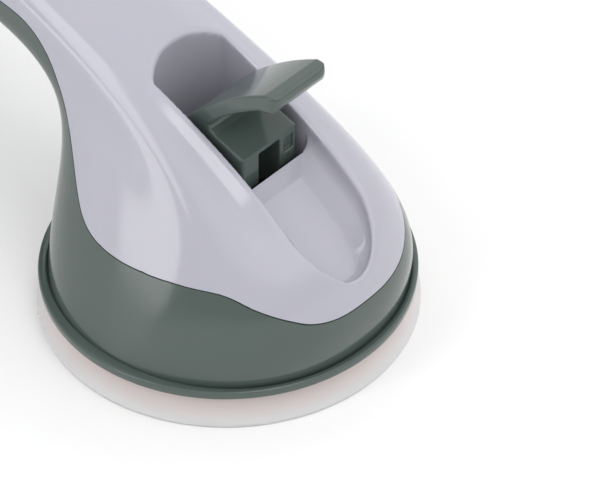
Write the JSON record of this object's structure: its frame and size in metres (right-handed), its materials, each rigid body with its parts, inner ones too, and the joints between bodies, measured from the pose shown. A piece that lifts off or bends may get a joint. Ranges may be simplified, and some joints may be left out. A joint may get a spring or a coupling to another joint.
{
  "type": "suction grab bar",
  "caption": "Plastic bathroom grip between two round suction housings, each with a flip lever in a top pocket that lifts the cup to hold it on a smooth wall.",
  "frame": {"origin": "midway between the two cup axes, on the plane the cup lips press against", "axes": "+X along the grip towards end a, +Y across the grip, +Z out from the wall"},
  "size_m": [0.302, 0.102, 0.0967],
  "materials": {
    "shell": "moulded gloss",
    "green": "moulded gloss",
    "cup": "translucent elastomer, satin",
    "steel": "bright drawn",
    "nylon": "natural nylon"
  },
  "bodies": {
    "housing": {"upper_shell": "shell", "lower_shell": "green", "wear_plate_a": "steel", "wear_plate_b": "steel", "return_spring_a": "steel", "return_spring_b": "steel", "suction_cup_a": "cup", "suction_cup_b": "cup", "bell_screw_right_a": "steel", "bell_screw_right_b": "steel", "bell_screw_left_a": "steel", "bell_screw_left_b": "steel", "grip_screw_a": "steel", "grip_screw_b": "steel"},
    "lift_a": {"pull_post_a": "nylon", "backing_disc_a": "nylon", "lever_pin_a": "steel"},
    "lift_b": {"pull_post_b": "nylon", "backing_disc_b": "nylon", "lever_pin_b": "steel"},
    "lever_body_a": {"lever_a": "green"},
    "lever_body_b": {"lever_b": "green"}
  },
  "joints": [
    {"name": "post_lift_a", "type": "slide", "parent": "housing", "child": "lift_a", "axis": [0, 0, 1], "range_m": [0, 0.0041], "deforming": ["return_spring_a"]},
    {"name": "post_lift_b", "type": "slide", "parent": "housing", "child": "lift_b", "axis": [0, 0, 1], "range_m": [0, 0.0041], "deforming": ["return_spring_b"]},
    {"name": "lever_swing_a", "type": "hinge", "parent": "lift_a", "child": "lever_body_a", "pos_m": [0.098, 0, 0.0525], "axis": [0, 1, 0], "range_deg": [0, 70]},
    {"name": "lever_swing_b", "type": "hinge", "parent": "lift_b", "child": "lever_body_b", "pos_m": [-0.098, 0, 0.0525], "axis": [0, -1, 0], "range_deg": [0, 70]}
  ],
  "couplings": [
    {"joint": "post_lift_a", "follows": "lever_swing_a", "m_per_rad": 0.003274},
    {"joint": "post_lift_b", "follows": "lever_swing_b", "m_per_rad": 0.003274}
  ]
}
